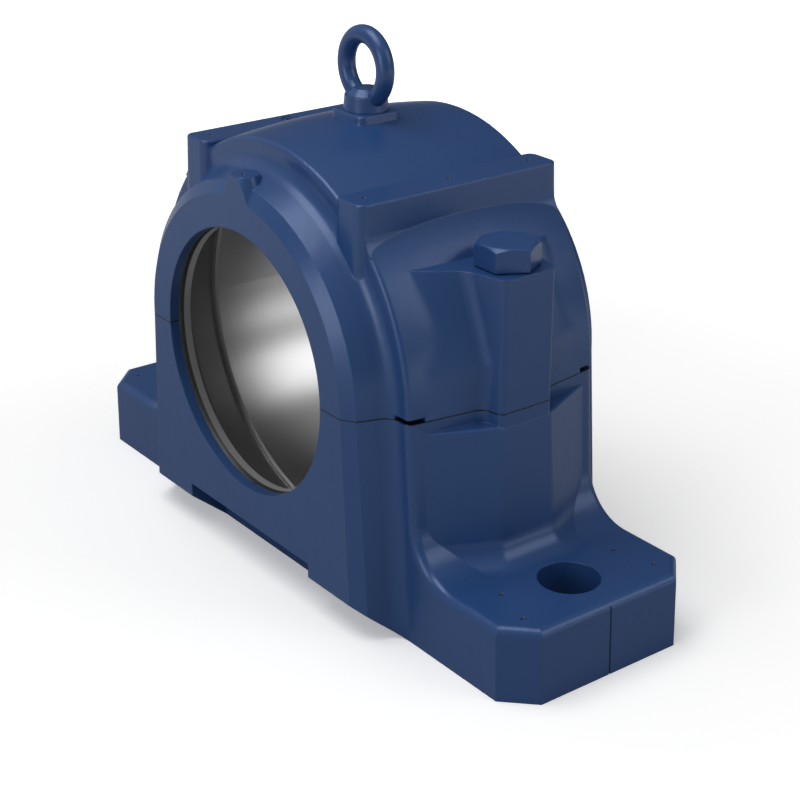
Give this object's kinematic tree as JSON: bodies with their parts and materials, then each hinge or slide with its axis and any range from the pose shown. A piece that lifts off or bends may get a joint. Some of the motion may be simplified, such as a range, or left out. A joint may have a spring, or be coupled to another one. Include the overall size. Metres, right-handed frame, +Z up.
{
  "type": "split plummer block",
  "caption": "Split plummer block: cast foot-mounted base and bolted cap around an empty turned bearing seat, with open noses, lifting eye bolt and grease plug.",
  "frame": {"origin": "centre of the machined underside of the foot", "axes": "+X along the foot, +Y along the shaft, +Z up"},
  "size_m": [0.5, 0.205, 0.3575],
  "materials": {
    "casting_paint": "deep blue satin enamel over cast iron; bore surfaces machined bare",
    "fastener_paint": "the same blue enamel sprayed over steel fasteners",
    "dowel_steel": "ground steel"
  },
  "bodies": {
    "root": {"base": "casting_paint", "cap": "casting_paint", "cap_bolt_left": "fastener_paint", "cap_bolt_right": "fastener_paint", "dowel_pin_left": "dowel_steel", "dowel_pin_right": "dowel_steel", "eye_bolt": "fastener_paint", "grease_plug": "fastener_paint"}
  },
  "joints": []
}
